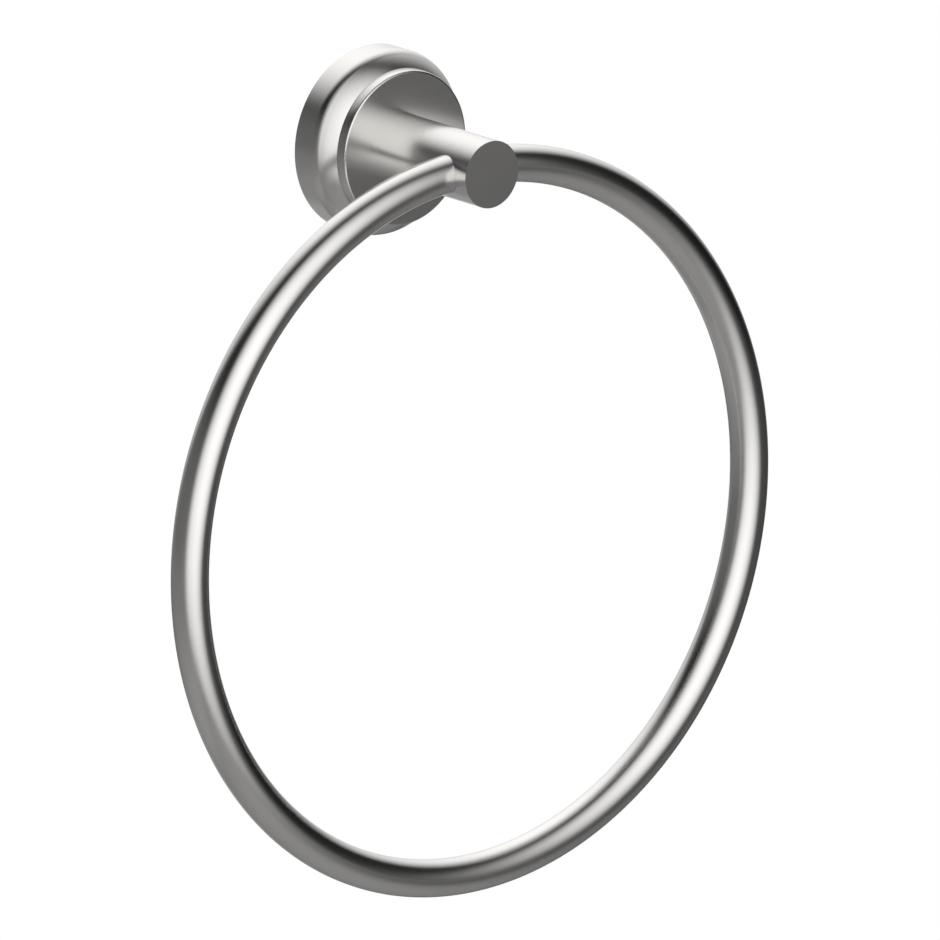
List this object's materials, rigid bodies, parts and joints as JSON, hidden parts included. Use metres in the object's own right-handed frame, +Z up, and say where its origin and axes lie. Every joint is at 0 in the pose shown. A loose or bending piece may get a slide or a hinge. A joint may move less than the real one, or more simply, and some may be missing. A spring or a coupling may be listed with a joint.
{
  "type": "towel ring",
  "caption": "Wall-mounted towel ring: a round bar ring fixed in a turned post on a stepped round rose, which hides a screwed wall bracket.",
  "frame": {"origin": "on the wall plane, on the axis of the post, at the middle of the bracket's two screw slots", "axes": "+Z up, the wall is the XZ plane, and the front of the part is towards -Y"},
  "size_m": [0.16, 0.0402, 0.1759],
  "materials": {
    "satin_nickel": "satin nickel plate, softly brushed",
    "zinc_plate": "bright zinc plate",
    "screw_steel": "plain stainless steel"
  },
  "bodies": {
    "root": {"rose": "satin_nickel", "post": "satin_nickel", "ring": "satin_nickel", "wall_bracket": "zinc_plate", "set_screw": "screw_steel", "post_screw": "zinc_plate", "post_washer": "zinc_plate"}
  },
  "joints": []
}
